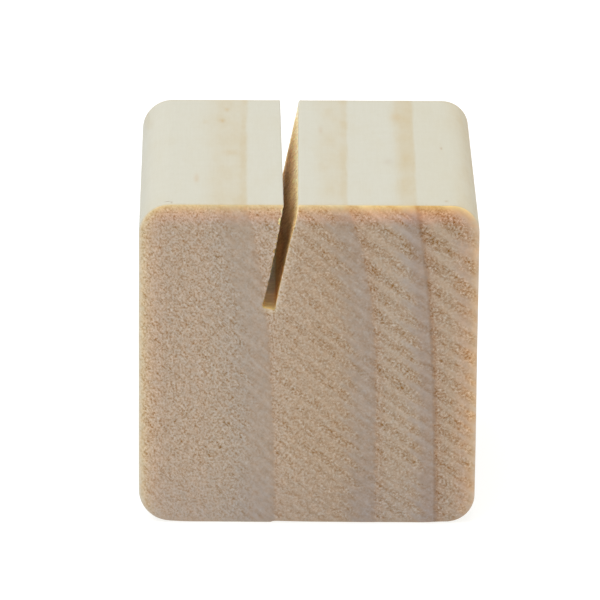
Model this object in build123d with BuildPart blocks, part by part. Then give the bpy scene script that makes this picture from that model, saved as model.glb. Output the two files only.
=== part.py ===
from build123d import *

import math
import os

# Wooden photo block holder: one cube sawn from a planed softwood square, with a slanting
# saw slot that grips the lower edge of a card.
#
# Frame: +Z up, +Y along the grain from the front end-grain face to the back one, +X to the
# right seen from the front. The origin is the centre of the resting face. Millimetres.
#
# The stick is planed square with its four long corners rounded, then cross-cut, so the two
# end-grain faces (front and back) keep nearly sharp arrises while the long corners are round.
# One pass of a circular saw, run along the grain with the block leaned over, cuts the slot.
# It opens just left of the middle of the top face, leans down to the left and runs out of
# both ends. The kerf is a little wider at its mouth than at its floor, and wider at the back
# end, where the blade wandered, than at the front.
#
# The whole object is one piece of wood, so it is one node. The solid is divided along the
# plane of the slot's floor, which leaves the base and the two jaws as three convex bodies
# that meet face to face, with nothing but the open kerf between the jaws.

os.makedirs("parts", exist_ok=True)

# ---- driving dimensions (mm, degrees) ---------------------------------------
block_width = 60.0  # X, across the planed sides
block_depth = 60.0  # Y, between the two sawn end-grain faces
block_height = 60.0  # Z, resting face to top face

corner_top_left = 5.6  # radii of the four long corners, which run along Y
corner_top_right = 5.0
corner_bottom_right = 5.4
corner_bottom_left = 6.1
end_arris = 0.3  # the rubbed-down edge round each sawn end face

slot_tilt = 11.1  # lean of the saw cut from upright, its floor to the left
slot_depth = 19.9  # along the cut, from the top face to the slot's flat floor, at the front end
mouth_x_front = -3.21  # middle of the slot's mouth at the front end
mouth_x_back = -2.95  # and at the back end
mouth_kerf_front = 2.40  # kerf at the mouth, measured square to the cut
mouth_kerf_back = 3.30
floor_kerf_front = 2.12  # kerf at the floor
floor_kerf_back = 2.95
mouth_arris = 0.25  # broken edge along both lips of the slot

overrun = 4.0  # how far the cutting shape passes the block's faces


# ---- the slot's outline at one end -------------------------------------------
tilt = math.radians(slot_tilt)
down = Vector(-math.sin(tilt), 0, -math.cos(tilt))  # along the cut, into the block
across = Vector(math.cos(tilt), 0, -math.sin(tilt))  # square to the cut, to the right
floor_middle = Vector(mouth_x_front, 0, block_height) + down * slot_depth
floor_plane = Plane(origin=floor_middle, x_dir=across, z_dir=-down)


def slot_outline(mouth_x, mouth_kerf, floor_kerf):
    """Corners of the saw cut in (X, Z): floor, walls, broken lips, carried on above the top face."""
    mouth = Vector(mouth_x, 0, block_height)
    depth = (floor_middle - mouth).dot(down)
    flare = mouth_arris + overrun

    def at(along, side):
        point = mouth + down * along + across * side
        return point.X, point.Z

    return [
        at(-overrun, -mouth_kerf / 2 - flare),
        at(mouth_arris, -mouth_kerf / 2),
        at(depth, -floor_kerf / 2),
        at(depth, floor_kerf / 2),
        at(mouth_arris, mouth_kerf / 2),
        at(-overrun, mouth_kerf / 2 + flare),
    ]


def past_the_ends(front, back):
    """The front and back values, run on in a straight line past both ends by the overrun."""
    rate = (back - front) / block_depth
    return front - rate * overrun, back + rate * overrun


mouth_x = past_the_ends(mouth_x_front, mouth_x_back)
mouth_kerf = past_the_ends(mouth_kerf_front, mouth_kerf_back)
floor_kerf = past_the_ends(floor_kerf_front, floor_kerf_back)

# ---- the block ---------------------------------------------------------------
with BuildPart() as slotted_block:
    # planed stick, its four long corners each with a radius of its own
    with BuildSketch(Plane.XZ.offset(-block_depth / 2)):
        with Locations((0, block_height / 2)):
            Rectangle(block_width, block_height)
        for corner_x, corner_z, radius in (
            (-block_width / 2, block_height, corner_top_left),
            (block_width / 2, block_height, corner_top_right),
            (block_width / 2, 0, corner_bottom_right),
            (-block_width / 2, 0, corner_bottom_left),
        ):
            fillet(vertices().sort_by_distance((corner_x, corner_z, 0))[0], radius)
    extrude(amount=block_depth)

    # the sawn ends keep an almost sharp edge
    fillet(faces().sort_by(Axis.Y)[0].edges(), end_arris)
    fillet(faces().sort_by(Axis.Y)[-1].edges(), end_arris)

    # the slanting saw cut with its broken lips, from the front end to the back
    with BuildSketch(Plane.XZ.offset(block_depth / 2 + overrun)):
        with BuildLine():
            Polyline(*slot_outline(mouth_x[0], mouth_kerf[0], floor_kerf[0]), close=True)
        make_face()
    with BuildSketch(Plane.XZ.offset(-block_depth / 2 - overrun)):
        with BuildLine():
            Polyline(*slot_outline(mouth_x[1], mouth_kerf[1], floor_kerf[1]), close=True)
        make_face()
    loft(ruled=True, mode=Mode.SUBTRACT)

    # base below the slot's floor, left jaw and right jaw above it
    split(bisect_by=floor_plane, keep=Keep.BOTH)

slotted_block.part.label = "slotted_block"
export_step(slotted_block.part, "parts/slotted_block.step")

for solid in slotted_block.part.solids().sort_by(Axis.Z):
    print("solid:", [round(v, 2) for v in solid.center()], "volume cm3:", round(solid.volume / 1000, 2))
print("volume cm3:", round(slotted_block.part.volume / 1000, 2))
print("bounds:", slotted_block.part.bounding_box())
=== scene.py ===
import math

import bpy
import numpy as np
from mathutils import Matrix, Vector
from mathutils.geometry import delaunay_2d_cdt


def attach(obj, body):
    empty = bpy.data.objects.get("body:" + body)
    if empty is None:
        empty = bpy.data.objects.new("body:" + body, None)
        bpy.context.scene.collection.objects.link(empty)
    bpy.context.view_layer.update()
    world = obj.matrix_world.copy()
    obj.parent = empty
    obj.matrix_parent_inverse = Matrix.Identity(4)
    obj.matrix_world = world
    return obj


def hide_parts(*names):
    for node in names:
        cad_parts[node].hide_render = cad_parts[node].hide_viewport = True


# A cube of planed softwood with a slanting saw slot, standing on a pale table.
# The shape is worked out in millimetres in the frame's axes: +Z up, +Y along the grain from
# the front end face to the back one, +X to the right seen from the front.

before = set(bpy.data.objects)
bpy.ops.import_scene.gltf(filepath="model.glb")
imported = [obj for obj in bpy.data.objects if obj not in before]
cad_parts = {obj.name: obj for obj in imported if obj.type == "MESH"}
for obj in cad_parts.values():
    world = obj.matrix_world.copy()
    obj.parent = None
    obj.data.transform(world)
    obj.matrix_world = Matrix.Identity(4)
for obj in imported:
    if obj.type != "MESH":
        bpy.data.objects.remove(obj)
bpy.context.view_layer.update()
MM = 0.001

# ---- the block's own sizes, mm and degrees ------------------------------------
HALF, TALL = 30.0, 60.0
CORNER_TL, CORNER_TR, CORNER_BR, CORNER_BL = 5.6, 5.0, 5.4, 6.1
END_ARRIS, SLOT_ARRIS = 0.30, 0.13
TILT = math.radians(11.1)
SLOT_DEPTH = 19.9
MOUTH_X = (-3.21, -2.95)  # at the front end and at the back end
MOUTH_KERF = (2.40, 3.30)
FLOOR_KERF = (2.12, 2.95)
LIP_RIGHT, LIP_LEFT, FLOOR_CORNER = 0.38, 0.26, 0.22

# Growth rings: each boundary, where one year's dense late wood ends and the next year's
# early wood begins, is X = a + b*(Z/60)^2 + c*(Z/60)^4 at the front end, and leans by
# drift towards the back.
RINGS = (
    # a, b, c, drift, undulation
    (-31.4, -1.5, -1.2, 0.2, 1.3),
    (-5.774, -2.666, -2.60, 0.30, 0.10),
    (12.134, 0.435, -5.886, 0.76, 0.10),
    (22.942, -2.043, -1.95, 0.60, 0.10),
    (32.6, -1.7, -1.2, 0.6, 1.1),
)
# how far the late wood comes in before each boundary: its tone and its density on an end
# face, and its colour on a planed face
TONE = (9.0, 11.0, 7.5, 5.5, 6.0)
DENSE = (5.0, 7.0, 6.0, 4.8, 4.0)
BAND = (6.5, 9.5, 7.0, 5.0, 6.0)
# The cross-cut saw's lines on the end faces: arcs of one blade, carried down by its feed.
BLADE_R, BLADE_X = 319.0, 205.6
SAW_PHASE = (-1.4547, 0.3871, 17.3334, 1.8908)  # of (c/50)^3, (c/50)^2, c/50 and 1
RIP_RISE = 2.1  # how far back the slot's saw marks run for each mm down


# ---- functions that work on numpy arrays and on shader values alike ------------
class Val:
    """A number that a material works out at each point. Arithmetic on it adds Math nodes."""

    def __init__(self, tree, socket):
        self.tree, self.socket = tree, socket

    def op(self, name, *others):
        node = self.tree.nodes.new("ShaderNodeMath")
        node.operation = name
        for slot, value in zip(node.inputs, (self,) + others):
            if isinstance(value, Val):
                self.tree.links.new(value.socket, slot)
            else:
                slot.default_value = float(value)
        return Val(self.tree, node.outputs[0])

    def lift(self, number):
        """A plain number as the first operand."""
        node = self.tree.nodes.new("ShaderNodeMath")
        node.operation = "ADD"
        node.inputs[0].default_value = float(number)
        node.inputs[1].default_value = 0.0
        return Val(self.tree, node.outputs[0])

    def __add__(self, o):
        return self.op("ADD", o)

    __radd__ = __add__

    def __sub__(self, o):
        return self.op("SUBTRACT", o)

    def __rsub__(self, o):
        node = self.tree.nodes.new("ShaderNodeMath")
        node.operation = "SUBTRACT"
        node.inputs[0].default_value = float(o)
        self.tree.links.new(self.socket, node.inputs[1])
        return Val(self.tree, node.outputs[0])

    def __mul__(self, o):
        return self.op("MULTIPLY", o)

    __rmul__ = __mul__

    def __truediv__(self, o):
        return self.op("DIVIDE", o)

    def __neg__(self):
        return self.op("MULTIPLY", -1.0)


def each(a, name, plain, *others):
    return a.op(name, *others) if isinstance(a, Val) else plain(a, *others)


def root(a):
    return each(a, "SQRT", np.sqrt)


def sine(a):
    return each(a, "SINE", np.sin)


def size_of(a):
    return each(a, "ABSOLUTE", np.abs)


def whole(a):
    return each(a, "FLOOR", np.floor)


def at_most(a, b):
    return each(a, "MINIMUM", np.minimum, b)


def at_least(a, b):
    return each(a, "MAXIMUM", np.maximum, b)


def power(a, b):
    return each(a, "POWER", np.power, b)


def falling(a):
    """exp(-a)"""
    return (a * -1.0).op("EXPONENT") if isinstance(a, Val) else np.exp(-a)


def ramp(a, low, high, out_low=0.0, out_high=1.0):
    """A smooth step of a from low to high."""
    if isinstance(a, Val):
        node = a.tree.nodes.new("ShaderNodeMapRange")
        node.interpolation_type = "SMOOTHSTEP"
        a.tree.links.new(a.socket, node.inputs[0])
        for slot, value in zip(node.inputs[1:5], (low, high, out_low, out_high)):
            slot.default_value = float(value)
        return Val(a.tree, node.outputs[0])
    t = np.clip((a - low) / (high - low), 0.0, 1.0)
    return out_low + (out_high - out_low) * t * t * (3 - 2 * t)


def ring_gap(i, x, y, z):
    """How far a point lies past growth-ring boundary i, towards +X."""
    a, b, c, drift, wave = RINGS[i]
    q = z * (1 / 60.0)
    q2 = q * q
    line = a + q2 * b + q2 * q2 * c + (y + 30.0) * (drift / 60.0)
    swing = sine(y * 0.083 + z * 0.031 + 1.7 * i) * 0.6 + sine(y * 0.047 - z * 0.071 + 2.9 * i) * 0.5
    swing = swing + sine(z * 0.19 + y * 0.021 + 0.9 * i) * 0.25
    return x - line - swing * wave


def late_wood(gaps, reach, full=0.2, end=0.15, early=0.0):
    """How far into a year's late wood a point lies: it comes in slowly and ends at once.
    Where early is above 0 it comes in that much sooner."""
    total = None
    for gap, far in zip(gaps, reach):
        part = ramp(gap + early, -far, -far * full) * ramp(gap, -end, end, 1.0, 0.0)
        total = part if total is None else total + part
    return total


def all_gaps(x, y, z):
    return [ring_gap(i, x, y, z) for i in range(len(RINGS))]


def saw_feed(x, z):
    """Which pass of the cross-cut blade reached this point of an end face, as a height."""
    return z + root(BLADE_R**2 - (BLADE_X - x) * (BLADE_X - x)) - math.sqrt(BLADE_R**2 - BLADE_X**2)


def saw_turn(c):
    """The blade's turns by then. A whole number is the deepest line of a turn."""
    q = c * (1 / 50.0)
    a, b, k, d = SAW_PHASE
    return ((q * a + b) * q + k) * q + d


def off_line(turn):
    """0 on a saw line, 0.5 half way to the next."""
    t = turn + 0.5
    return size_of(t - whole(t) - 0.5)


# ---- numpy noise for the geometry ---------------------------------------------
def lattice(ix, iy, iz, seed):
    h = (ix * 374761393 + iy * 668265263 + iz * 2147483647 + seed * 1274126177) & 0xFFFFFFFF
    h = ((h ^ (h >> 13)) * 1274126177) & 0xFFFFFFFF
    h = ((h ^ (h >> 16)) * 2246822519) & 0xFFFFFFFF
    return ((h ^ (h >> 15)) & 0xFFFFFF) / float(0xFFFFFF) * 2 - 1


def noise(x, y, z, seed=0):
    """Smooth value noise, about -1 to 1, one feature to each unit."""
    x, y, z = np.broadcast_arrays(x, y, z)
    fx, fy, fz = np.floor(x), np.floor(y), np.floor(z)
    ix, iy, iz = fx.astype(np.int64), fy.astype(np.int64), fz.astype(np.int64)
    u, v, w = x - fx, y - fy, z - fz
    u, v, w = (t * t * t * (t * (t * 6 - 15) + 10) for t in (u, v, w))
    out = 0.0
    for dx, wx in ((0, 1 - u), (1, u)):
        for dy, wy in ((0, 1 - v), (1, v)):
            for dz, wz in ((0, 1 - w), (1, w)):
                out = out + wx * wy * wz * lattice(ix + dx, iy + dy, iz + dz, seed)
    return out


# ---- the outline, the same number of points at both ends -----------------------
def rounded_loop(corners):
    """Points round a polygon with rounded corners. Each corner is (x, z, radius, arc steps,
    places along the straight run to the next corner, as shares of it)."""
    n = len(corners)
    places = [np.array(c[:2], float) for c in corners]
    starts, ends, arcs = [], [], []
    for i in range(n):
        p, before, after = places[i], places[i - 1], places[(i + 1) % n]
        radius, steps = corners[i][2], corners[i][3]
        d1 = (p - before) / np.linalg.norm(p - before)
        d2 = (after - p) / np.linalg.norm(after - p)
        turn = math.atan2(d1[0] * d2[1] - d1[1] * d2[0], float(d1 @ d2))
        back = radius * math.tan(abs(turn) / 2)
        start = p - d1 * back
        side = np.array([-d1[1], d1[0]]) * (1 if turn > 0 else -1)
        centre = start + side * radius
        arc = []
        for k in range(steps + 1):
            a = turn * k / steps
            r = start - centre
            arc.append(centre + np.array([r[0] * math.cos(a) - r[1] * math.sin(a), r[0] * math.sin(a) + r[1] * math.cos(a)]))
        arcs.append(arc)
    points, kinds = [], []
    for i in range(n):
        points += arcs[i]
        kinds += [(i, "arc")] * len(arcs[i])
        a, b = arcs[i][-1], arcs[(i + 1) % n][0]
        for t in corners[i][4]:
            points.append(a + (b - a) * t)
            kinds.append((i, "run"))
    return np.array(points), kinds


def even(length, step):
    n = max(2, int(round(length / step)))
    return [k / n for k in range(1, n)]


def base_run():
    """Places along the base, from the left corner to the right one, closer together at the
    groove on the ring boundary."""
    x0, x1 = -HALF + CORNER_BL, HALF - CORNER_BR
    groove = RINGS[1][0]
    xs = list(np.arange(x0 + 0.5, groove - 2.2, 0.62)) + list(np.arange(groove - 2.0, groove - 0.5, 0.25))
    xs += list(np.arange(groove - 0.48, groove + 0.5, 0.08)) + list(np.arange(groove + 0.6, groove + 2.4, 0.25))
    xs += list(np.arange(groove + 2.7, x1 - 0.3, 0.62))
    return [(x - x0) / (x1 - x0) for x in xs]


def outline(end):
    """The block's outline at the front end (0) or the back end (1), anticlockwise seen from
    the front: base right corner, right side, top, right lip, slot, left lip, top, left side."""
    down = np.array([-math.sin(TILT), -math.cos(TILT)])
    across = np.array([math.cos(TILT), -math.sin(TILT)])
    mouth = np.array([MOUTH_X[end], TALL])
    floor = np.array([MOUTH_X[0], TALL]) + down * SLOT_DEPTH
    depth = float((floor - mouth) @ down)

    def lip(side):
        top = mouth + across * side * MOUTH_KERF[end] / 2
        low = mouth + down * depth + across * side * FLOOR_KERF[end] / 2
        t = (TALL - low[1]) / (top[1] - low[1])
        return low + (top - low) * t, low

    right_lip, right_floor = lip(+1)
    left_lip, left_floor = lip(-1)
    return rounded_loop(
        [
            (HALF, 0.0, CORNER_BR, 13, even(49.6, 0.62)),
            (HALF, TALL, CORNER_TR, 13, even(27.0, 0.55)),
            (*right_lip, LIP_RIGHT, 4, even(19.4, 0.25)),
            (*right_floor, FLOOR_CORNER, 3, even(2.0, 0.34)),
            (*left_floor, FLOOR_CORNER, 3, even(19.4, 0.22)),
            (*left_lip, LIP_LEFT, 4, even(20.0, 0.55)),
            (-HALF, TALL, CORNER_TL, 14, even(48.3, 0.62)),
            (-HALF, 0.0, CORNER_BL, 15, base_run()),
        ]
    )


front_loop, kinds = outline(0)
back_loop, _ = outline(1)
N = len(front_loop)
assert len(back_loop) == N
in_slot = np.array([(i in (2, 3, 4) and k == "run") or (i in (3, 4) and k == "arc") for i, k in kinds])
on_lip = np.array([i in (2, 5) and k == "arc" for i, k in kinds])
right_wall = np.array([i == 2 and k == "run" for i, k in kinds])
left_wall = np.array([i == 4 and k == "run" for i, k in kinds])
arris = np.where(in_slot, SLOT_ARRIS, END_ARRIS)
arris[on_lip] = 0.17
for _ in range(3):  # no sudden change of arris at the lips
    arris = (np.roll(arris, 1) + arris * 2 + np.roll(arris, -1)) / 4


def loop_normals(loop):
    ahead = np.roll(loop, -1, 0) - loop
    ahead /= np.linalg.norm(ahead, axis=1)[:, None]
    n = np.stack([ahead[:, 1], -ahead[:, 0]], 1)
    n = n + np.roll(n, 1, 0)
    return n / np.linalg.norm(n, axis=1)[:, None]


front_normal, back_normal = loop_normals(front_loop), loop_normals(back_loop)


def loop_at(y):
    t = (y + HALF) / (2 * HALF)
    n = front_normal * (1 - t) + back_normal * t
    return front_loop * (1 - t) + back_loop * t, n / np.linalg.norm(n, axis=1)[:, None]


# ---- relief, in mm below the nominal surface ------------------------------------
def end_relief(x, y, z):
    """A sawn end face: saw lines, torn early wood, raised late wood."""
    late = late_wood(all_gaps(x, y, z), DENSE, 0.65)
    turn = saw_turn(saw_feed(x, z)) + 0.10 * noise(x * 0.12, z * 0.12, y * 0.1, 5)
    gap = off_line(turn)
    line = np.exp(-((gap / 0.13) ** 2))
    strong = 0.45 + 0.55 * ramp(x, -14.0, 16.0)
    patch = 0.55 + 0.45 * noise(x * 0.45, z * 0.45, y, 9)
    depth = 0.012 + 0.030 * (1 - late) + line * strong * patch * (0.055 - 0.025 * late)
    depth = depth + (0.020 - 0.012 * late) * (1 + noise(x * 1.3, z * 1.3, y, 2))
    depth = depth + 0.03 * (1 + noise(x * 0.09, z * 0.09, y * 0.1, 3))
    return depth


def side_relief(x, y, z):
    """A planed side: faint ripples of the cutter across the grain, late wood a little proud,
    and on the base a shallow hollow with a groove where a ring boundary comes out."""
    late = late_wood(all_gaps(x, y, z), BAND)
    depth = 0.010 * (1 - late) + 0.006 * (1 + noise(x * 0.9, y * 0.05, z * 0.9, 11))
    depth = depth + 0.004 * (1 + np.sin(y * 2 * math.pi / 1.9 + noise(x * 0.1, y * 0.1, z * 0.1, 12)))
    depth = depth + 0.02 * (1 + noise(x * 0.06, y * 0.03, z * 0.06, 13))
    base = ramp(z, 0.6, 3.2, 1.0, 0.0)
    gap = ring_gap(1, x, y, z)
    left = 0.02 * ramp(gap, -18.0, -4.0, 1.0, 0.0) + 0.26 * ramp(gap, -0.75, -0.02)
    right = 0.04 + 0.24 * np.exp(-np.maximum(gap, 0) / 4.0)
    corners = 0.16 * np.exp(-(((x + 24.4) / 1.7) ** 2)) + 0.18 * np.exp(-(((x - 24.4) / 2.2) ** 2))
    return depth + base * (np.where(gap < 0, left, right) + corners)


def wall_relief(x, y, z):
    """The slot's walls: the blade's marks, which climb towards the front."""
    mark = y + z * RIP_RISE
    depth = 0.02 * (1 + noise(mark * 0.8, z * 0.12, 0 * y, 21)) + 0.015 * (1 + noise(mark * 2.1, z * 0.4, 0 * y, 22))
    return depth


# ---- the mesh: rings of the outline along the grain, and a net over each end ----
def stations():
    ys, y, step = [], -HALF + END_ARRIS, 0.34
    while y < 0:
        ys.append(y)
        y += step
        step = min(step * 1.16, 1.5)
    ys = np.array(ys)
    ys = -HALF + END_ARRIS + (ys + HALF - END_ARRIS) * ((HALF - END_ARRIS - 0.6) / (ys[-1] + HALF - END_ARRIS))
    return np.concatenate([ys, [0.0], -ys[::-1]])


def wall_shape(x, y, z):
    """How far the slot's walls stand off their flat shape, in mm into the wood: the right one
    is scooped a little below the front of the mouth, the left one bows into the slot, and
    fibres are broken out along its arrises."""
    near = np.exp(-(y + HALF) / 10.0)
    scoop = 0.26 * np.exp(-(((z - 56.9) / 2.9) ** 2)) * near
    share = np.clip((TALL - z) / 19.5, 0, 1)
    bow = -0.20 * np.sin(math.pi * share) * np.exp(-(y + HALF) / 25.0)
    edge = np.exp(-(HALF - np.abs(y)) / 0.6)
    torn = np.maximum(0, noise(z * 1.9, y * 0.4, 0 * z, 33)) * 0.85 + 0.60 * np.maximum(0, noise(z * 3.7, y, 0 * z, 34))
    torn = torn * edge * ramp(z, 44.0, 57.0, 0.35, 1.0)
    frayed = 0.06 * np.maximum(0, noise(z * 2.3, y * 0.4, 0 * z, 35)) * edge
    return np.where(right_wall, scoop + frayed, 0.0) + np.where(left_wall, bow + torn, 0.0)


ring_kind = []
steps = 4
ys = stations()
for sign in (-1, 1):
    part = []
    for k in range(steps + 1):
        theta = math.pi / 2 * (1 - k / steps)  # 90 degrees on the end face, 0 on the side
        part.append((sign, theta))
    if sign < 0:
        ring_kind += part[:-1]
    else:
        ring_kind += [(0, y) for y in ys] + part[:-1][::-1]

verts = []
slot_share = np.where(in_slot, 1.0, np.where(on_lip, 0.5, 0.0))
for sign, value in ring_kind:
    if sign == 0:
        loop, normal = loop_at(value)
        yy = np.full(N, value)
        end_share = 0.0
    else:
        loop, normal = loop_at(sign * HALF)
        loop = loop - normal * (arris * (1 - math.cos(value)))[:, None]
        yy = sign * (HALF - arris * (1 - math.sin(value)))
        end_share = math.sin(value)
    x, z = loop[:, 0], loop[:, 1]
    depth = side_relief(x, yy, z) * (1 - slot_share) + wall_relief(x, yy, z) * slot_share
    depth = depth * math.sqrt(max(0.0, 1 - end_share**2)) + wall_shape(x, yy, z)
    moved = loop - normal * depth[:, None]
    if sign != 0:  # the end face's relief carries over the arris
        yy = yy - sign * end_relief(x, yy, z) * end_share
    verts.append(np.stack([moved[:, 0], yy, moved[:, 1]], 1))
R = len(ring_kind)
ring_verts = np.concatenate(verts)


def inside_and_gap(points, loop):
    """Whether each point is inside the loop, and its distance from it."""
    a, b = loop, np.roll(loop, -1, 0)
    inside = np.zeros(len(points), bool)
    gap = np.full(len(points), 1e9)
    for i in range(0, len(points), 4000):
        p = points[i : i + 4000, None, :]
        cross = (a[None, :, 1] > p[..., 1]) != (b[None, :, 1] > p[..., 1])
        dz = b[:, 1] - a[:, 1]
        dz = np.where(dz == 0, 1e-12, dz)
        at = a[None, :, 0] + (p[..., 1] - a[None, :, 1]) * ((b[:, 0] - a[:, 0]) / dz)[None]
        inside[i : i + 4000] = (cross & (p[..., 0] < at)).sum(1) % 2 == 1
        ab = b - a
        t = np.clip(((p - a[None]) * ab[None]).sum(2) / (ab**2).sum(1)[None], 0, 1)
        gap[i : i + 4000] = np.linalg.norm(p - a[None] - ab[None] * t[..., None], axis=2).min(1)
    return inside, gap


def end_net(loop, step):
    """Triangles over an end face, inside the loop, closer together near its edge."""
    xs = np.arange(-HALF, HALF, step)
    zs = np.arange(0, TALL, step * math.sqrt(3) / 2)
    grid = np.array([(x + (step / 2 if r % 2 else 0), z) for r, z in enumerate(zs) for x in xs])
    inside, gap = inside_and_gap(grid, loop)
    grid = grid[inside & (gap > step * 0.62)]
    points = np.concatenate([loop, grid])
    n = len(loop)
    out = delaunay_2d_cdt([Vector(p) for p in points], [(i, (i + 1) % n) for i in range(n)], [], 1, 1e-6)
    assert len(out[0]) == len(points), "the net gained or lost points"
    order = [o[0] for o in out[3]]
    faces = np.array([[order[i] for i in f] for f in out[2]])
    return grid, faces


faces_quad, loops_all = [], []
for r in range(R - 1):
    a = r * N + np.arange(N)
    b = r * N + (np.arange(N) + 1) % N
    faces_quad.append(np.stack([a, a + N, b + N, b], 1))
quads = np.concatenate(faces_quad)

caps = []
offset = len(ring_verts)
all_verts = [ring_verts]
for sign, step, ring in ((-1, 0.345, 0), (1, 0.43, R - 1)):
    loop = ring_verts[ring * N : (ring + 1) * N][:, [0, 2]]
    grid, tris = end_net(loop, step)
    x, z = grid[:, 0], grid[:, 1]
    y = np.full(len(grid), sign * HALF)
    y = y - sign * end_relief(x, y, z)
    all_verts.append(np.stack([x, y, z], 1))
    index = np.concatenate([ring * N + np.arange(N), offset + np.arange(len(grid))])
    tris = index[tris]
    # anticlockwise in (X, Z) faces -Y
    if sign > 0:
        tris = tris[:, ::-1]
    caps.append(tris)
    offset += len(grid)
vertices = np.concatenate(all_verts)

poly = [tuple(q) for q in quads] + [tuple(t) for c in caps for t in c]
kind_of = np.zeros(len(poly), np.int32)  # 0 planed side, 1 end grain, 2 slot
ring_of_quad = np.repeat(np.arange(R - 1), N)
col_of_quad = np.tile(np.arange(N), R - 1)
on_end = (ring_of_quad < 2) | (ring_of_quad >= R - 3)
is_arris = (ring_of_quad < steps) | (ring_of_quad >= R - 1 - steps)
is_slot = in_slot[col_of_quad] & in_slot[(col_of_quad + 1) % N]
kind_of[: len(quads)] = np.where(on_end | (is_arris & is_slot), 1, np.where(is_slot, 2, 0))
kind_of[len(quads) :] = 1

mesh = bpy.data.meshes.new("slotted_block_wood")
mesh.from_pydata([tuple(v * MM) for v in vertices], [], poly)
mesh.validate()
mesh.polygons.foreach_set("use_smooth", np.ones(len(mesh.polygons), bool))
mesh.polygons.foreach_set("material_index", kind_of)

# ---- what the materials read off the mesh: how far each point is from an edge -----
vx, vy, vz = vertices.T


def stain(name, values):
    layer = mesh.attributes.new(name, "FLOAT", "POINT")
    layer.data.foreach_set("value", np.asarray(values, np.float32))


def nearest(points, loop, keep):
    """Distance from the kept points of a loop, and which one is nearest."""
    part = np.where(keep)[0]
    gap, which = np.empty(len(points)), np.empty(len(points), int)
    for i in range(0, len(points), 4000):
        d = np.linalg.norm(points[i : i + 4000, None, :] - loop[part][None], axis=2)
        which[i : i + 4000] = part[d.argmin(1)]
        gap[i : i + 4000] = d.min(1)
    return gap, which


outer = ~(in_slot | on_lip)
edge_gap, edge_up, edge_side = (np.zeros(len(vertices)) for _ in range(3))
slot_gap, left_gap = (np.full(len(vertices), 9.0) for _ in range(2))
for sign, loop, normal in ((-1, front_loop, front_normal), (1, back_loop, back_normal)):
    near = np.where(np.abs(vy - sign * HALF) < 0.5)[0]
    p = np.stack([vx[near], vz[near]], 1)
    gap, which = nearest(p, loop, outer)
    across = np.abs(((p - loop[which]) * normal[which]).sum(1))
    edge_gap[near] = np.where(gap < 3.0, across, gap)
    edge_up[near] = np.maximum(normal[which][:, 1], 0) ** 2
    edge_side[near] = normal[which][:, 0] ** 2
    slot_gap[near], _ = nearest(p, loop, right_wall | np.array([i == 3 for i, k in kinds]))
    left_gap[near], _ = nearest(p, loop, left_wall)
stain("edge_gap", edge_gap)
stain("edge_up", edge_up)
stain("edge_side", edge_side)
stain("slot_gap", slot_gap)
stain("left_gap", left_gap)

# ---- a UV map with the most room for the end faces -------------------------------
uv_layer = mesh.uv_layers.new(name="OFBake")
loop_vertex = np.empty(len(mesh.loops), np.int32)
mesh.loops.foreach_get("vertex_index", loop_vertex)
length = np.concatenate([[0], np.cumsum(np.linalg.norm(np.roll(front_loop, -1, 0) - front_loop, axis=1))])
total = length[-1]
uv = np.zeros((len(mesh.loops), 2))
pos = 0
ring_of_vertex = np.where(np.arange(len(vertices)) < R * N, np.arange(len(vertices)) // N, -1)
flat = np.stack([vx, vz], 1).copy()
for ring in list(range(steps + 1)) + list(range(R - 1 - steps, R)):
    sign, value = ring_kind[ring]
    if sign != 0:
        out = arris * (math.pi / 2 - value)
        inner = 0 if sign < 0 else R - 1
    else:
        out = arris * (math.pi / 2)
        inner = 0 if ring < R // 2 else R - 1
    base = ring_verts[inner * N : (inner + 1) * N][:, [0, 2]]
    flat[ring * N : (ring + 1) * N] = base + front_normal * out[:, None]
poly_start = np.empty(len(mesh.polygons), np.int32)
poly_count = np.empty(len(mesh.polygons), np.int32)
mesh.polygons.foreach_get("loop_start", poly_start)
mesh.polygons.foreach_get("loop_total", poly_count)
loop_poly = np.repeat(np.arange(len(mesh.polygons)), poly_count)
assert (np.diff(poly_start) > 0).all()
half = 0.5
pad = 0.006
cap_side = np.zeros(len(poly), int)
cap_side[: len(quads)] = np.where(ring_of_quad < steps, -1, np.where(ring_of_quad >= R - 1 - steps, 1, 0))
cap_side[len(quads) : len(quads) + len(caps[0])] = -1
cap_side[len(quads) + len(caps[0]) :] = 1
side_of_loop = cap_side[loop_poly]
scale = (half - 2 * pad) / (2 * HALF + 1.2)
fv = flat[loop_vertex]
cap = side_of_loop != 0
uv[cap, 0] = np.where(side_of_loop[cap] < 0, pad, half + pad) + (fv[cap, 0] + HALF + 0.6) * scale
uv[cap, 1] = pad + (fv[cap, 1] + 0.6) * scale
# the strip round the block: two rows, the second from the slot's floor on
cols = col_of_quad[np.minimum(loop_poly, len(quads) - 1)]
corner_col = loop_vertex % N
u_len = length[corner_col]
u_len = np.where((cols == N - 1) & (corner_col == 0), total, u_len)
first_floor = int(np.where([i == 3 and k == "run" for i, k in kinds])[0][3])
seam_a = int(np.where([i == 7 and k == "run" for i, k in kinds])[0][len(base_run()) // 2])
start_a = length[seam_a]
u_from = np.where(cols >= seam_a, u_len - start_a, u_len + total - start_a)  # from the middle of the base, rightwards
len_a = total - start_a + length[first_floor]
row_a = (cols >= seam_a) | (cols < first_floor)
len_b = total - len_a
strip = ~cap
y_at = vy[loop_vertex]
su = (1 - 2 * pad) / max(len_a, len_b)
sv = (0.25 - 2 * pad) / (2 * HALF)
uv[strip, 0] = pad + np.where(row_a[strip], u_from[strip], u_from[strip] - len_a) * su
uv[strip, 1] = np.where(row_a[strip], 0.5, 0.75) + pad + (y_at[strip] + HALF) * sv
uv_layer.uv.foreach_set("vector", uv.astype(np.float32).ravel())
mesh.uv_layers.active = uv_layer

block = bpy.data.objects.new("slotted_block_wood", mesh)
bpy.context.scene.collection.objects.link(block)


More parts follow.
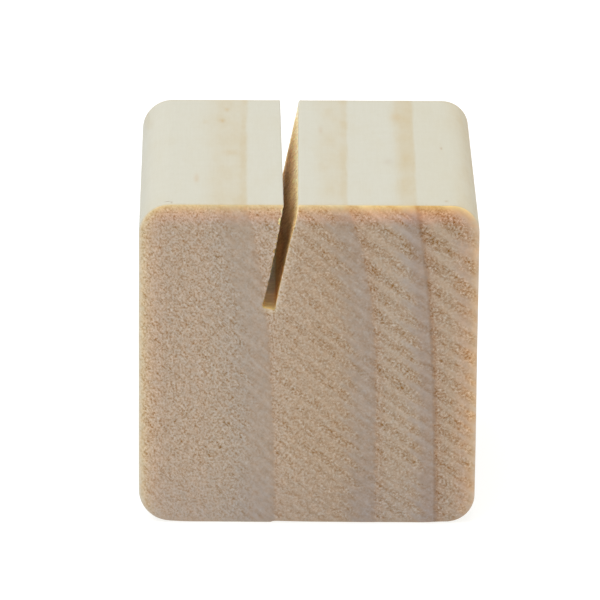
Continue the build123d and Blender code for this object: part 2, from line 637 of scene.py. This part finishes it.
# ---- materials ---------------------------------------------------------------
class Finish:
    """Builds one procedural material, node by node."""

    def __init__(self, name, roughness):
        self.material = bpy.data.materials.new(name)
        self.material.use_nodes = True
        self.tree = self.material.node_tree
        self.shader = self.tree.nodes["Principled BSDF"]
        self.shader.inputs["Roughness"].default_value = roughness
        self.shader.inputs["IOR"].default_value = 1.45
        self.shader.inputs["Specular IOR Level"].default_value = 0.3
        place = self.tree.nodes.new("ShaderNodeTexCoord")
        apart = self.tree.nodes.new("ShaderNodeSeparateXYZ")
        self.tree.links.new(place.outputs["Object"], apart.inputs[0])
        self.x, self.y, self.z = (Val(self.tree, s) * 1000.0 for s in apart.outputs)

    def vector(self, x, y, z):
        node = self.tree.nodes.new("ShaderNodeCombineXYZ")
        for slot, value in zip(node.inputs, (x, y, z)):
            if isinstance(value, Val):
                self.tree.links.new(value.socket, slot)
            else:
                slot.default_value = float(value)
        return node.outputs[0]

    def noise(self, x, y, z, scale=1.0, detail=1.0, rough=0.5, warp=0.0):
        node = self.tree.nodes.new("ShaderNodeTexNoise")
        self.tree.links.new(self.vector(x, y, z), node.inputs["Vector"])
        node.inputs["Scale"].default_value = scale
        node.inputs["Detail"].default_value = detail
        node.inputs["Roughness"].default_value = rough
        node.inputs["Distortion"].default_value = warp
        return Val(self.tree, node.outputs[0]) - 0.5

    def stain(self, name):
        node = self.tree.nodes.new("ShaderNodeAttribute")
        node.attribute_name = name
        return Val(self.tree, node.outputs["Fac"])

    def mix(self, share, a, b):
        node = self.tree.nodes.new("ShaderNodeMix")
        node.data_type = "RGBA"
        node.clamp_factor = True
        self.put(share, node.inputs[0])
        self.put(a, node.inputs[6])
        self.put(b, node.inputs[7])
        return node.outputs[2]

    def put(self, value, slot):
        if isinstance(value, Val):
            self.tree.links.new(value.socket, slot)
        elif isinstance(value, bpy.types.NodeSocket):
            self.tree.links.new(value, slot)
        elif isinstance(value, (int, float)):
            slot.default_value = value
        else:
            slot.default_value = (*value, 1.0) if len(slot.default_value) == 4 else value

    def tint(self, colour, amount, by):
        """colour times (1 + amount * by), channel by channel."""
        node = self.tree.nodes.new("ShaderNodeVectorMath")
        node.operation = "MULTIPLY_ADD"
        self.tree.links.new(self.vector(amount, amount, amount), node.inputs[0])
        node.inputs[1].default_value = by
        node.inputs[2].default_value = (1, 1, 1)
        times = self.tree.nodes.new("ShaderNodeVectorMath")
        times.operation = "MULTIPLY"
        self.put(colour, times.inputs[0])
        self.tree.links.new(node.outputs[0], times.inputs[1])
        return times.outputs[0]

    def finish(self, colour, height=None, depth=0.00002, rough=None):
        self.put(colour, self.shader.inputs["Base Color"])
        if height is not None:
            bump = self.tree.nodes.new("ShaderNodeBump")
            bump.inputs["Strength"].default_value = 1.0
            bump.inputs["Distance"].default_value = depth
            self.put(height, bump.inputs["Height"])
            self.tree.links.new(bump.outputs[0], self.shader.inputs["Normal"])
        if rough is not None:
            self.put(rough, self.shader.inputs["Roughness"])
        return self.material


def srgb(*levels):
    """Linear colour from 0-255 display levels."""
    return tuple((v / 255 / 12.92) if v / 255 <= 0.04045 else ((v / 255 + 0.055) / 1.055) ** 2.4 for v in levels)


def scaled(colour, k):
    return tuple(c * f for c, f in zip(colour, k))


FRONT_GAIN = (0.946, 0.947, 0.943)  # albedo for a shown colour on an end face
TOP_GAIN = (0.800, 0.800, 0.795)


def end_grain():
    f = Finish("pine_end_grain", 0.85)
    x, y, z = f.x, f.y, f.z
    # along and across the saw's arcs
    c = saw_feed(x, z)
    t = x * 0.777 - z * 0.629
    w = c * 0.777
    fine = f.noise(t * 2.35, w * 2.3, y * 0.5, detail=2.0, rough=0.7) * 13.8
    coarse = f.noise(t * 0.8, w * 1.2, y * 0.3, detail=1.0) * 8.0
    fine = fine + coarse * 0.5
    # left of the slot the torn pits are darker and further apart
    uneven = ramp(x, -8.0, 3.0, 0.5, 0.0)
    fine = fine * (1.0 - uneven * 0.4) + at_least(fine, 0.0) * uneven - uneven * 0.6
    fray = f.noise(t * 1.1, w * 1.1, 4.0, detail=2.0, rough=0.7) * 1.9
    gaps = all_gaps(x + fray, y, z)
    # early wood just after a boundary is the darkest and roughest
    fresh = ramp(gaps[1], -0.2, 0.2) * ramp(gaps[1], 0.2, 2.2, 0.4, 0.0)
    fresh = fresh + ramp(gaps[2], -0.2, 0.2) * ramp(gaps[2], 0.2, 2.4, 1.0, 0.0)
    fresh = fresh + ramp(gaps[3], -0.2, 0.2) * ramp(gaps[3], 0.2, 2.8, 1.3, 0.0)
    # the saw's turns leave bands of torn grain with smoother ones between
    turn = saw_turn(c) + f.noise(x * 0.12, z * 0.12, 3.1) * 0.5
    gap = off_line(turn) + coarse * 0.035
    blobs = f.noise(t * 0.22, w * 0.7, 7.7, detail=1.0)
    torn = ramp(gap, 0.18, 0.46, 1.0, 0.0) * ramp(blobs, -0.20, 0.08, 0.40, 1.0)
    # no two turns tore the grain alike, and the foot was cut cleaner
    each_turn = f.noise(whole(turn + 0.5) * 3.37, t * 0.035, 2.2)
    torn = torn * ramp(each_turn, -0.18, 0.08, 0.68, 1.0)
    clean = ramp(z, 4.0, 22.0, 0.65, 1.0)
    smooth = (0.45 - torn) * ramp(x, -14.0, 2.0, 0.5, 1.0) * clean
    tone = late_wood(gaps, TONE, 0.25, 0.3, smooth * 2.5)
    tone = tone * (1.0 - ramp(z, 36.0, 58.0, 0.0, 0.4) * ramp(x, -2.0, 2.0, 1.0, 0.0))
    tone = tone * (1.0 - f.stain("edge_up") * ramp(f.stain("edge_gap"), 2.2, 0.3, 0.0, 0.65))
    dense = late_wood(gaps, DENSE, 0.45, 0.25, smooth * 3.4)
    strong = ramp(x, -16.0, 4.0, 0.30, 0.70) + ramp(x, 6.0, 20.0, 0.0, 0.28)
    strong = strong * (1.0 + ramp(z, 34.0, 48.0) * ramp(x, 8.0, 14.0) * 0.25)
    band = (torn - 0.50) * strong * clean * 1.1
    scratch = f.noise(t * 0.10, w * 0.95, 5.0, detail=2.0, rough=0.7) * 9.0
    broad = f.noise(x * 0.16, z * 0.16, 1.0, detail=2.0) * 6.0
    rough = (1.0 - dense * ramp(x, -2.0, 6.0, 0.68, 0.56)) * (1.06 + band * 1.0 + fresh * 0.30) * ramp(x, -10.0, 2.0, 1.07, 1.01) * ramp(x, 2.0, 14.0, 1.0, 0.95)
    rough = rough * (1.0 - ramp(z, 16.0, 3.0, 0.0, 0.28) * ramp(x, -6.0, 6.0, 1.0, 0.3))
    calm = at_most(f.stain("edge_gap") * (0.8 - f.stain("edge_up") * ramp(x, 2.0, 10.0, 0.15, 0.35)) + 0.10, 1.0)
    clumps = f.noise(x * 0.42, z * 0.26, 8.0, detail=2.0) * 5.0 * ramp(x, -10.0, 0.0, 1.0, 0.25)
    rough = rough * (1.0 + clumps * 0.22)
    speck = (fine * rough + coarse * dense * ramp(x, -2.0, 6.0, 0.26, 0.28)) * calm
    clump = f.noise(x * 0.95, z * 0.95, 6.0, detail=2.0, rough=0.6) * 5.0
    value = scratch * (dense * 0.12 + 0.11) + broad * 0.15 + clump * (1.0 - dense * 0.6) * 0.30 * calm - band * (1.7 - dense * 0.5) - speck
    value = value + value * value * 0.025 - 0.03
    right = ramp(x, -8.0, 14.0)
    early_colour = f.mix(right, scaled(srgb(180, 158, 136), FRONT_GAIN), scaled(srgb(174, 151, 127), FRONT_GAIN))
    late_colour = f.mix(right, scaled(srgb(171, 153, 136), FRONT_GAIN), scaled(srgb(165, 147, 131), FRONT_GAIN))
    base = f.mix(tone, early_colour, late_colour)
    base = f.tint(base, fresh, (-0.035, -0.07, -0.08))
    base = f.tint(base, ramp(x, -19.0, -16.5) * ramp(x, -11.5, -9.0, 1.0, 0.0), (-0.03, -0.01, 0.0))
    base = f.tint(base, ramp(x, -8.0, -3.0) * ramp(x, 6.0, 11.0, 1.0, 0.0), (-0.012, -0.028, -0.06))
    base = f.tint(base, ramp(x, 11.0, 13.5) * ramp(x, 17.5, 20.0, 1.0, 0.0), (0.0, 0.03, 0.07))
    # a few open pits in the smooth wood
    pits = ramp(f.noise(x * 2.0, z * 2.0, 31.0), 0.23, 0.30) * ramp(x, 0.0, 10.0, 1.0, 0.3)
    base = f.tint(base, pits, (-0.16, -0.22, -0.27))
    # the third boundary is drawn by a brown line, with a darker band before it
    gap3 = gaps[3]
    shade3 = ramp(gap3, -2.9, -2.1) * ramp(gap3, -0.1, 0.2, 1.0, 0.0)
    third = gap3 - fray * 0.85
    brown = falling(third * third * third * third * 22.0)
    brown = brown * ramp(f.noise(x * 0.5, z * 0.16, 9.0, detail=2.0), -0.2, 0.1, 0.8, 1.0)
    base = f.tint(base, shade3, (-0.03, -0.05, -0.05))
    base = f.tint(base, brown, (-0.13, -0.215, -0.305))
    for i in (1, 2):
        g = gaps[i] + 0.2
        base = f.tint(base, falling(g * g * 4.0), (-0.01, -0.05, -0.09))
    base = f.tint(base, clumps * (1.0 - dense), (-0.006, -0.016, -0.036))
    hue = f.noise(t * 0.8, w * 0.8, 12.0, detail=2.0, rough=0.7) * 9.0
    base = f.tint(base, hue, (0.022, 0.0, -0.022))
    colour = f.tint(base, value, (0.090, 0.133, 0.190))
    # painted shade: the foot of the block is painted a little greyer, where the light falls off towards the table
    colour = f.tint(colour, ramp(z, 15.0, 0.5), (-0.05, -0.02, 0.05))
    # painted glow and highlight: light that entered the next face is painted in as a warm band along the edges, and the
    # arris itself is painted paler
    edge, up, side, slot = f.stain("edge_gap"), f.stain("edge_up"), f.stain("edge_side"), f.stain("slot_gap")
    up = up * ramp(edge, 2.4, 4.6, 1.0, 0.0)
    more = ramp(x, 4.0, 15.0)
    near, mid, far = falling(edge * 2.8), falling(edge * 1.15), falling(edge * 0.52)
    colour = f.tint(colour, far * up * (more * 0.5 + 1.0), (0.70, 0.0, 0.0))
    colour = f.tint(colour, mid * up * (more * 0.25 + 1.0), (0.0, 0.84, -0.13))
    colour = f.tint(colour, mid * up * more, (0.0, 0.0, -0.14))
    colour = f.tint(colour, near * up, (0.0, 0.0, 0.65))
    colour = f.tint(colour, far * up * ramp(x, -1.0, 3.0) * ramp(x, 11.0, 15.0, 1.0, 0.0), (0.12, 0.16, 0.20))
    side = side * ramp(edge, 3.0, 6.0, 1.0, 0.0) * ramp(x, -10.0, 10.0, 1.0, 0.8)
    colour = f.tint(colour, far * side, (0.53, 0.25, 0.12))
    colour = f.tint(colour, mid * side, (0.0, 0.48, 0.12))
    colour = f.tint(colour, near * side, (0.0, 0.0, 0.8))
    patch = f.noise(x * 0.3, z * 0.22, 21.0, detail=2.0) * 2.5 + 1.0
    colour = f.tint(colour, far * side * ramp(x, 0.0, 10.0) * patch, (0.26, 0.03, -0.14))
    # painted highlight and glow along the slot's right arris, held back low down near the slot's floor
    colour = f.tint(colour, falling(slot * 1.9), (0.42, 0.56, 0.66))
    colour = f.tint(colour, falling(slot * 1.9) * ramp(z, 42.2, 40.8), (-0.10, -0.14, -0.28))
    # torn fibres along the slot's left arris, paler than the wood and with a painted highlight where they catch the
    # light
    jag = ramp(f.noise(x * 1.2, z * 2.6, 17.0, detail=1.0), -0.06, 0.10) * ramp(z, 44.0, 52.0)
    colour = f.tint(colour, falling(f.stain("left_gap") * 3.2) * jag, (0.40, 0.50, 0.62))
    height = (scratch * 0.05 - fine * rough * 0.25 - band * 0.25) * calm
    return f.finish(colour, height, 0.00003)


def planed():
    f = Finish("pine_planed", 0.62)
    x, y, z = f.x, f.y, f.z
    fray = f.noise(x * 0.9, y * 0.10, z * 0.9, detail=2.0, rough=0.6) * 0.9
    gaps = all_gaps(x + fray, y, z)
    late = late_wood(gaps, BAND, 0.35, 0.35)
    cloud = f.noise(x * 0.28, y * 0.10, z * 0.28, detail=3.0, rough=0.55) * 6.0
    core = None
    for i, wide, strength in ((0, 1.5, 0.4), (1, 1.5, 0.45), (2, 1.6, 0.40), (3, 4.2, 0.60), (4, 1.5, 0.4)):
        part = ramp(gaps[i], -wide, -wide * 0.5) * ramp(gaps[i], -0.4, 0.35, strength, 0.0)
        if i == 3:
            part = part * ramp(y, -28.0, 0.0, 0.6, 1.05)
        core = part if core is None else core + part
    tan = late * (0.58 + cloud * 0.20) + core * (0.62 + cloud * 0.11)
    mottle = f.noise(x * 0.9, y * 0.5, z * 0.9, 1.0, detail=3.0, rough=0.7) * 9.0
    fibre = f.noise(x * 3.0, y * 0.10, z * 3.0, detail=3.0, rough=0.7) * 10.0
    ripple = f.noise(x * 0.10, y * 0.85, z * 0.10, detail=2.0, rough=0.7) * 8.0
    value = fibre * 0.45 + mottle * 0.5 + ripple * 0.35
    colour = scaled(srgb(221, 218, 202), TOP_GAIN)
    colour = f.tint(colour, tan, (-0.045, -0.125, -0.245))
    colour = f.tint(colour, at_least(cloud + 0.2, 0.0), (-0.006, -0.014, -0.030))
    colour = f.tint(colour, ramp(x, 14.0, 22.0), (-0.008, -0.020, -0.050))
    colour = f.tint(colour, value, (0.011, 0.014, 0.021))
    # pin knots, resin flecks and smudges of the top face
    top = ramp(z, 58.0, 59.6)
    for cx, cy, rx, ry, stain in (
        (-15.4, 17.4, 0.55, 1.1, (-0.06, -0.17, -0.33)),
        (-14.5, 23.9, 0.45, 1.2, (-0.04, -0.12, -0.24)),
        (-18.4, 16.7, 0.5, 1.0, (-0.02, -0.07, -0.14)),
        (-19.9, -15.4, 0.5, 2.4, (-0.03, -0.12, -0.20)),
        (-13.9, -1.0, 1.3, 1.6, (-0.03, -0.09, -0.18)),
        (24.1, 2.0, 0.22, 0.7, (-0.14, -0.24, -0.32)),
        (24.1, -27.6, 0.35, 0.5, (-0.12, -0.20, -0.28)),
        (16.2, 19.6, 0.9, 2.2, (-0.02, -0.09, -0.18)),
        (14.4, -5.9, 0.9, 2.0, (-0.05, -0.08, -0.10)),
        (2.5, 12.2, 0.4, 2.2, (-0.04, -0.09, -0.13)),
        (-24.9, -28.3, 0.55, 0.16, (-0.32, -0.40, -0.45)),
        (-24.2, -28.9, 0.16, 0.5, (-0.25, -0.32, -0.38)),
    ):
        dx, dy = (x - cx) * (1 / rx), (y - cy) * (1 / ry)
        spot = falling(dx * dx + dy * dy) * top * (1.0 + mottle * 0.4)
        colour = f.tint(colour, spot, stain)
    # painted light: both lips of the slot are painted brighter, to lift the shade on their rounded arrises
    middle, half = (y + 30.0) * 0.0043 - 3.21, (y + 30.0) * 0.0075 + 1.20
    lip = falling(at_least(size_of(x - middle) - half - 0.02, 0.0) * 9.0)
    colour = f.tint(colour, lip * top, (0.18, 0.18, 0.18))
    # painted light and shade on the top's rounded long edges: the right one painted lighter, the left one darker
    colour = f.tint(colour, ramp(x, 24.5, 28.5), (0.085, 0.085, 0.09))
    colour = f.tint(colour, ramp(x, -27.5, -30.0), (-0.05, -0.04, -0.03))
    # painted glow: the planed faces are painted warmer close to the end faces, for light coming out through the arris
    rim = falling((30.0 - size_of(y)) * 2.2)
    colour = f.tint(colour, rim, (0.0, -0.10, -0.24))
    # the sides of the block are cut closer to the rings, so their figure is broader
    side = ramp(size_of(x), 27.0, 29.5)
    wander = z + f.noise(z * 0.05, y * 0.022, x * 0.05, detail=2.0) * 26.0
    figure = f.noise(wander * 0.16, y * 0.004, x * 0.02, detail=2.0, rough=0.6) * 7.0
    line = f.noise(wander * 0.75, y * 0.012, 4.0, detail=3.0, rough=0.7) * 5.0
    colour = f.tint(colour, at_least(figure + 0.1, 0.0) * side, (-0.030, -0.070, -0.135))
    colour = f.tint(colour, line * side, (0.012, 0.020, 0.032))
    height = fibre * 0.5 + mottle * 0.3 + ripple * 0.5
    return f.finish(colour, height, 0.000004)


def kerf():
    f = Finish("pine_kerf", 0.85)
    x, y, z = f.x, f.y, f.z
    along = (60.0 - z) * math.cos(TILT)
    mark = y + z * RIP_RISE
    streak = f.noise(mark * 0.9, z * 0.30, x * 0.1, detail=3.0, rough=0.75) * 9.0
    fibre = f.noise(mark * 2.6, z * 0.8, x * 0.6, detail=2.0, rough=0.7) * 9.0
    value = streak * 0.9 + fibre * 0.9
    value = value + value * value * 0.08
    # painted light and shade: the walls are painted pale and warm at the slot's mouth and darker deeper in, lightening
    # again towards the floor
    mouth = f.mix(ramp(y, -26.0, -8.0), srgb(255, 230, 178), srgb(255, 230, 184))
    deep = f.mix(ramp(z, 54.0, 44.0), srgb(174, 137, 77), srgb(220, 184, 124))
    colour = f.mix(falling(along * ramp(y, -28.0, -10.0, 0.14, 0.045)), deep, mouth)
    floor = f.mix(ramp(y, -28.5, -25.0), srgb(210, 184, 132), srgb(226, 208, 160))
    colour = f.mix(ramp(z, 41.3, 40.7), colour, floor)
    shaded = ramp(y, -26.5, -23.0) * ramp(y, -16.0, -8.0, 1.0, 0.0) * ramp(z, 58.0, 55.0) * ramp(z, 49.0, 52.0)
    colour = f.tint(colour, shaded, (-0.20, -0.26, -0.34))
    # painted shade: the walls are painted darker half way down
    colour = f.tint(colour, ramp(z, 54.5, 50.0) * ramp(z, 43.5, 47.0), (-0.20, -0.24, -0.29))
    colour = f.tint(colour, falling((y + 30.0) * 0.45) * ramp(z, 43.0, 41.0), (-0.02, 0.04, 0.08))
    # painted light: the walls are painted brighter close to the front end, near the mouth
    colour = f.tint(colour, falling((y + 30.0) * 0.9) * ramp(z, 60.0, 57.0) * ramp(z, 55.0, 51.0, 1.0, 0.55), (0.50, 0.48, 0.38))
    colour = f.tint(colour, value * ramp(z, 45.0, 41.5, 1.0, 0.45), (0.15, 0.19, 0.25))
    f.shader.inputs["Subsurface Weight"].default_value = 1.0
    f.shader.inputs["Subsurface Radius"].default_value = (1.0, 0.81, 0.62)
    f.shader.inputs["Subsurface Scale"].default_value = 0.0125
    return f.finish(colour, value, 0.00002)


for material in (planed(), end_grain(), kerf()):
    mesh.materials.append(material)

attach(block, "root")
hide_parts("slotted_block")

# ---- table, light and camera -----------------------------------------------------
table_mesh = bpy.data.meshes.new("table")
s = 3.0
table_mesh.from_pydata([(-s, -s, 0), (s, -s, 0), (s, s, 0), (-s, s, 0)], [], [(0, 1, 2, 3)])
table = bpy.data.objects.new("table", table_mesh)
bpy.context.scene.collection.objects.link(table)
pale = Finish("pale_table", 0.9)
pale.shader.inputs["Base Color"].default_value = (0.42, 0.42, 0.42, 1)
pale.shader.inputs["Emission Color"].default_value = (1, 1, 1, 1)
pale.shader.inputs["Emission Strength"].default_value = 0.68
table_mesh.materials.append(pale.material)


def softbox(name, at, towards, size, power, colour=(1, 1, 1)):
    data = bpy.data.lights.new(name, "AREA")
    data.shape = "DISK"
    data.size = size
    data.energy = power
    data.color = colour
    lamp = bpy.data.objects.new(name, data)
    direction = Vector(towards) - Vector(at)
    lamp.matrix_world = Matrix.Translation(at) @ direction.to_track_quat("-Z", "Y").to_matrix().to_4x4()
    bpy.context.scene.collection.objects.link(lamp)
    return lamp


softbox("top_light", (-0.25, 0.0, 1.0), (0, 0, 0.03), 1.2, 6.55)
softbox("front_fill", (-0.20, -0.70, 0.90), (0, 0, 0.03), 0.8, 0.80)
world = bpy.data.worlds.new("studio")
world.use_nodes = True
world.node_tree.nodes["Background"].inputs[0].default_value = (1, 1, 1, 1)
world.node_tree.nodes["Background"].inputs[1].default_value = 0.70
bpy.context.scene.world = world

# The camera stands 1.17 m away, 19.7 degrees above the table, turned 0.75 degrees.
distance, yaw, pitch, roll = 1.171803, math.radians(0.7514), math.radians(19.6704), math.radians(0.5022)
target = Vector((-0.0011214, 0.0, 0.0315259))
forward = Vector((math.sin(yaw) * math.cos(pitch), math.cos(yaw) * math.cos(pitch), -math.sin(pitch)))
right = Vector((math.cos(yaw), -math.sin(yaw), 0.0))
up = right.cross(forward)
right, up = right * math.cos(roll) + up * math.sin(roll), up * math.cos(roll) - right * math.sin(roll)
camera_data = bpy.data.cameras.new("camera")
camera_data.sensor_width = 36.0
camera_data.lens = 6461.0 * 36.0 / 600.0
camera_data.clip_start = 0.05
camera = bpy.data.objects.new("camera", camera_data)
turned = Matrix((right, up, -forward)).transposed().to_4x4()
camera.matrix_world = Matrix.Translation(target - forward * distance) @ turned
bpy.context.scene.collection.objects.link(camera)
bpy.context.scene.camera = camera
bpy.context.scene.view_settings.view_transform = "Standard"

print("triangles", sum(len(p.vertices) - 2 for p in mesh.polygons), "vertices", len(mesh.vertices))
